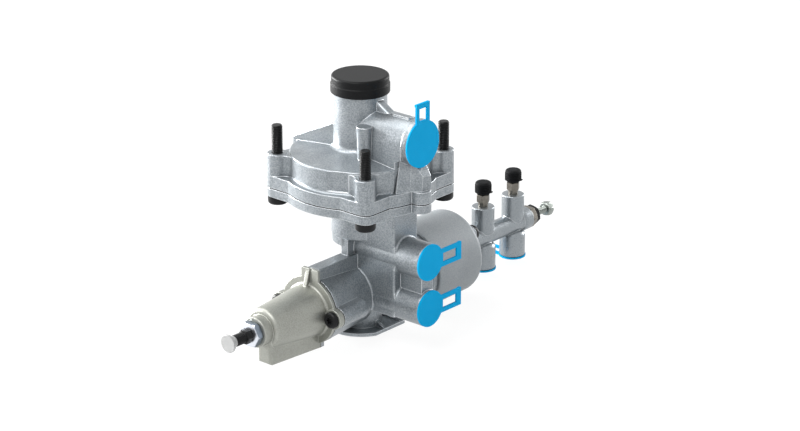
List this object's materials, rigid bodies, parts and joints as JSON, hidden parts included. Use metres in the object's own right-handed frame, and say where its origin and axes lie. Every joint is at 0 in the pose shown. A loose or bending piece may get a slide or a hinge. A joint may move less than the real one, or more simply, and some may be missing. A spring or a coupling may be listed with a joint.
{
  "type": "brake force regulator",
  "caption": "Load-sensing brake force regulator for compressed air: stud flange housing, spring cover, rear control cylinder and signal manifold, with plugged ports.",
  "frame": {"origin": "centre of the square pattern of the four mounting studs, in the plane of the post tops", "axes": "+Z along the neck away from the lower housing, +Y along the long axis towards the manifold, +X out of the side ports"},
  "size_m": [0.1218, 0.3583, 0.1959],
  "materials": {
    "cast_aluminium": "die-cast, satin",
    "cover_metal": "die-cast, warm grey",
    "turned_aluminium": "turned, satin",
    "zinc_steel": "zinc plated",
    "black_steel": "blackened",
    "spring_steel": "drawn wire",
    "brass": "turned",
    "black_rubber": "matte",
    "black_plastic": "satin",
    "blue_plastic": "moulded",
    "white_plastic": "satin"
  },
  "bodies": {
    "housing": {"upper_housing": "cast_aluminium", "lower_housing": "cast_aluminium", "diaphragm": "black_rubber", "flange_bolt_1": "zinc_steel", "flange_bolt_2": "zinc_steel", "flange_bolt_3": "zinc_steel", "flange_bolt_4": "zinc_steel", "regulator_cover": "cover_metal", "cover_gasket": "black_rubber", "cover_screw_left": "zinc_steel", "cover_screw_right": "zinc_steel", "rear_cylinder": "turned_aluminium", "manifold_gasket": "black_rubber", "manifold_screw_1": "black_steel", "manifold_screw_2": "black_steel", "manifold_screw_3": "black_steel", "manifold_screw_4": "black_steel", "signal_manifold": "cast_aluminium", "test_valve_1": "zinc_steel", "test_valve_2": "zinc_steel", "end_hex_plug": "zinc_steel", "end_seal_ring": "black_plastic", "exhaust_flap": "black_rubber", "exhaust_ring": "black_steel", "rod_guide": "brass", "pilot_spring": "spring_steel", "relay_valve_spring": "spring_steel", "balance_spring": "spring_steel"},
    "neck_cap": {"neck_cap": "black_plastic"},
    "pilot_piston": {"pilot_piston": "turned_aluminium"},
    "pilot_screw": {"pilot_screw": "brass"},
    "control_piston": {"control_piston": "turned_aluminium"},
    "relay_piston": {"relay_piston": "turned_aluminium", "relay_piston_seal": "black_rubber"},
    "relay_valve": {"relay_valve": "brass"},
    "valve_tappet": {"valve_tappet": "zinc_steel"},
    "load_rod": {"load_rod": "zinc_steel", "load_piston": "turned_aluminium", "load_piston_seal": "black_rubber", "spring_plate": "zinc_steel"},
    "adjusting_screw": {"adjusting_screw": "zinc_steel", "adjuster_end_cap": "white_plastic"},
    "adjuster_locknut": {"adjuster_locknut": "zinc_steel"},
    "end_adjusting_bolt": {"end_adjusting_bolt": "zinc_steel"},
    "upper_port_plug": {"upper_port_plug": "blue_plastic"},
    "side_port_plug_upper": {"side_port_plug_upper": "blue_plastic"},
    "side_port_plug_lower": {"side_port_plug_lower": "blue_plastic"},
    "bellows_port_plug_1": {"bellows_port_plug_1": "blue_plastic"},
    "bellows_port_plug_2": {"bellows_port_plug_2": "blue_plastic"},
    "test_valve_cap_1": {"test_valve_cap_1": "black_rubber"},
    "test_valve_cap_2": {"test_valve_cap_2": "black_rubber"}
  },
  "joints": [
    {"name": "neck_cap_lift", "type": "slide", "parent": "housing", "child": "neck_cap", "axis": [0, 0, 1], "range_m": [0, 0.03]},
    {"name": "pilot_piston_slide", "type": "slide", "parent": "housing", "child": "pilot_piston", "axis": [0, 0, 1], "range_m": [0, 0.004], "stiffness_N_per_m": 2000, "springref_m": -0.01, "deforming": ["pilot_spring"]},
    {"name": "pilot_screw_turn", "type": "hinge", "parent": "housing", "child": "pilot_screw", "pos_m": [0, 0, 0.05], "axis": [0, 0, 1], "continuous": true},
    {"name": "control_piston_slide", "type": "slide", "parent": "housing", "child": "control_piston", "axis": [0, 0, 1], "range_m": [0, 0.002]},
    {"name": "relay_piston_slide", "type": "slide", "parent": "housing", "child": "relay_piston", "axis": [0, 0, 1], "range_m": [-0.003, 0], "stiffness_N_per_m": 1500, "springref_m": 0.004},
    {"name": "relay_valve_slide", "type": "slide", "parent": "housing", "child": "relay_valve", "axis": [0, 0, 1], "range_m": [-0.003, 0], "deforming": ["relay_valve_spring"]},
    {"name": "load_rod_slide", "type": "slide", "parent": "housing", "child": "load_rod", "axis": [0, -1, 0], "range_m": [0, 0.012], "stiffness_N_per_m": 8000, "springref_m": -0.008, "deforming": ["balance_spring"]},
    {"name": "valve_tappet_slide", "type": "slide", "parent": "housing", "child": "valve_tappet", "axis": [0, 0, 1], "range_m": [0, 0.0025]},
    {"name": "adjusting_screw_turn", "type": "hinge", "parent": "housing", "child": "adjusting_screw", "pos_m": [0, -0.1, -0.1054], "axis": [0, 1, 0], "continuous": true},
    {"name": "adjuster_locknut_turn", "type": "hinge", "parent": "housing", "child": "adjuster_locknut", "pos_m": [0, -0.115, -0.1054], "axis": [0, 1, 0], "continuous": true},
    {"name": "end_bolt_turn", "type": "hinge", "parent": "housing", "child": "end_adjusting_bolt", "pos_m": [0, 0.2, -0.1054], "axis": [0, 1, 0], "continuous": true},
    {"name": "upper_port_plug_pull", "type": "slide", "parent": "housing", "child": "upper_port_plug", "axis": [1, 0, 0], "range_m": [0, 0.03]},
    {"name": "side_port_plug_upper_pull", "type": "slide", "parent": "housing", "child": "side_port_plug_upper", "axis": [1, 0, 0], "range_m": [0, 0.03]},
    {"name": "side_port_plug_lower_pull", "type": "slide", "parent": "housing", "child": "side_port_plug_lower", "axis": [1, 0, 0], "range_m": [0, 0.03]},
    {"name": "bellows_port_plug_1_pull", "type": "slide", "parent": "housing", "child": "bellows_port_plug_1", "axis": [0, 0, -1], "range_m": [0, 0.03]},
    {"name": "bellows_port_plug_2_pull", "type": "slide", "parent": "housing", "child": "bellows_port_plug_2", "axis": [0, 0, -1], "range_m": [0, 0.03]},
    {"name": "test_valve_cap_1_lift", "type": "slide", "parent": "housing", "child": "test_valve_cap_1", "axis": [0, 0, 1], "range_m": [0, 0.02]},
    {"name": "test_valve_cap_2_lift", "type": "slide", "parent": "housing", "child": "test_valve_cap_2", "axis": [0, 0, 1], "range_m": [0, 0.02]}
  ],
  "couplings": [
    {"joint": "relay_valve_slide", "follows": "relay_piston_slide", "ratio": 1},
    {"joint": "valve_tappet_slide", "follows": "load_rod_slide", "ratio": 0.16}
  ]
}
